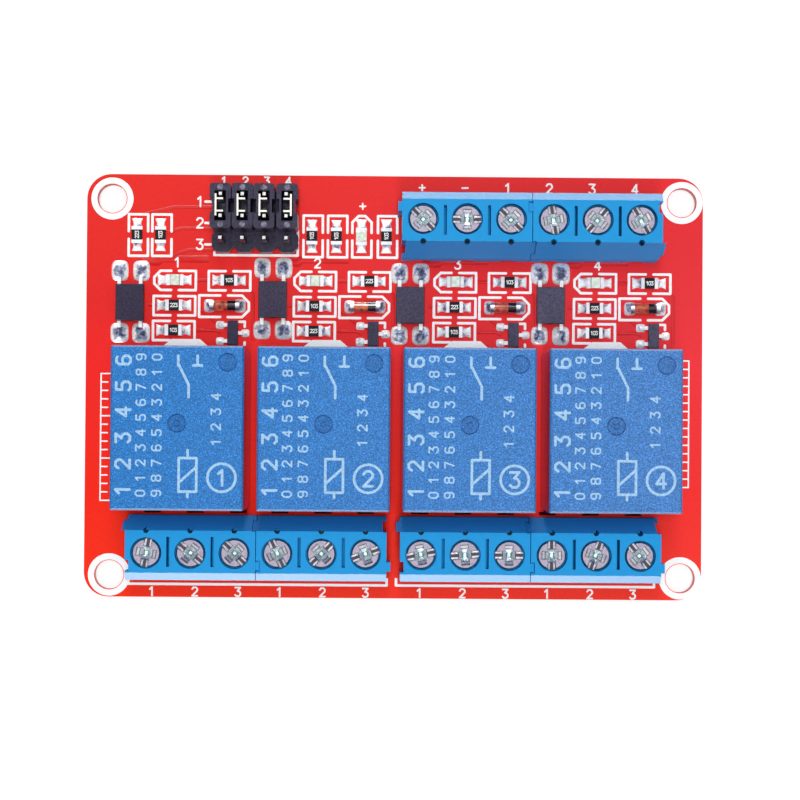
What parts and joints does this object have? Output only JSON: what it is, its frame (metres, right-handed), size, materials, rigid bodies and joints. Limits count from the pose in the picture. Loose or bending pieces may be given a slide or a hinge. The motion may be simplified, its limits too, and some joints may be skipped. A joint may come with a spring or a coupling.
{
  "type": "relay module",
  "caption": "Relay module board with cube relays, screw terminal blocks along two edges, a pin header with jumper caps and the parts that drive the relays.",
  "frame": {"origin": "centre of the mounting-hole pattern, on the board's underside", "axes": "+X along the board's length, +Y from the output terminals to the input terminals, +Z out of the component side"},
  "size_m": [0.073, 0.0499, 0.0185],
  "materials": {
    "solder_mask": "gloss",
    "blue_housing": "satin",
    "screw_steel": "polished",
    "clamp_steel": "satin",
    "tinned_metal": "satin",
    "black_plastic": "satin",
    "plated_brass": "polished",
    "spring_bronze": "satin",
    "relay_blue": "satin",
    "relay_base_plastic": "matt",
    "bobbin_plastic": "matt",
    "copper_wire": "gloss",
    "relay_iron": "satin",
    "contact_alloy": "satin",
    "solder": "polished",
    "chip_plastic": "matt",
    "chip_tin": "satin",
    "led_resin": "gloss",
    "diode_glass": "clear",
    "white_ink": "satin"
  },
  "bodies": {
    "module": {"circuit_board": "solder_mask", "output_terminal_1": "blue_housing", "output_terminal_2": "blue_housing", "output_terminal_3": "blue_housing", "output_terminal_4": "blue_housing", "input_terminal_1": "blue_housing", "input_terminal_2": "blue_housing", "terminal_screws": "screw_steel", "wire_clamps": "clamp_steel", "output_terminal_pins": "tinned_metal", "input_terminal_pins": "tinned_metal", "header_base": "black_plastic", "header_pins": "plated_brass", "jumper_cap_1": "black_plastic", "jumper_cap_2": "black_plastic", "jumper_cap_3": "black_plastic", "jumper_cap_4": "black_plastic", "jumper_clips": "spring_bronze", "relay_case_1": "relay_blue", "relay_case_2": "relay_blue", "relay_case_3": "relay_blue", "relay_case_4": "relay_blue", "relay_base_1": "relay_base_plastic", "relay_base_2": "relay_base_plastic", "relay_base_3": "relay_base_plastic", "relay_base_4": "relay_base_plastic", "relay_bobbin_1": "bobbin_plastic", "relay_bobbin_2": "bobbin_plastic", "relay_bobbin_3": "bobbin_plastic", "relay_bobbin_4": "bobbin_plastic", "relay_winding_1": "copper_wire", "relay_winding_2": "copper_wire", "relay_winding_3": "copper_wire", "relay_winding_4": "copper_wire", "relay_yoke_1": "relay_iron", "relay_yoke_2": "relay_iron", "relay_yoke_3": "relay_iron", "relay_yoke_4": "relay_iron", "fixed_contacts_1": "contact_alloy", "fixed_contacts_2": "contact_alloy", "fixed_contacts_3": "contact_alloy", "fixed_contacts_4": "contact_alloy", "solder_joints": "solder", "optocoupler_bodies": "chip_plastic", "optocoupler_leads": "chip_tin", "resistor_bodies": "chip_plastic", "chip_end_caps": "chip_tin", "led_bodies": "led_resin", "diode_glass": "diode_glass", "diode_caps": "chip_tin", "transistor_bodies": "chip_plastic", "transistor_leads": "chip_tin"},
    "armature_1": {"relay_armature_1": "relay_iron", "contact_spring_1": "spring_bronze"},
    "armature_2": {"relay_armature_2": "relay_iron", "contact_spring_2": "spring_bronze"},
    "armature_3": {"relay_armature_3": "relay_iron", "contact_spring_3": "spring_bronze"},
    "armature_4": {"relay_armature_4": "relay_iron", "contact_spring_4": "spring_bronze"}
  },
  "joints": [
    {"name": "armature_1_hinge", "type": "hinge", "parent": "module", "child": "armature_1", "pos_m": [-0.0249, 0.00225, 0.01375], "axis": [1, 0, 0], "range_deg": [0, 2.8], "stiffness_Nm_per_rad": 0.003, "springref_deg": -2.86},
    {"name": "armature_2_hinge", "type": "hinge", "parent": "module", "child": "armature_2", "pos_m": [-0.0083, 0.00225, 0.01375], "axis": [1, 0, 0], "range_deg": [0, 2.8], "stiffness_Nm_per_rad": 0.003, "springref_deg": -2.86},
    {"name": "armature_3_hinge", "type": "hinge", "parent": "module", "child": "armature_3", "pos_m": [0.0083, 0.00225, 0.01375], "axis": [1, 0, 0], "range_deg": [0, 2.8], "stiffness_Nm_per_rad": 0.003, "springref_deg": -2.86},
    {"name": "armature_4_hinge", "type": "hinge", "parent": "module", "child": "armature_4", "pos_m": [0.0249, 0.00225, 0.01375], "axis": [1, 0, 0], "range_deg": [0, 2.8], "stiffness_Nm_per_rad": 0.003, "springref_deg": -2.86}
  ]
}
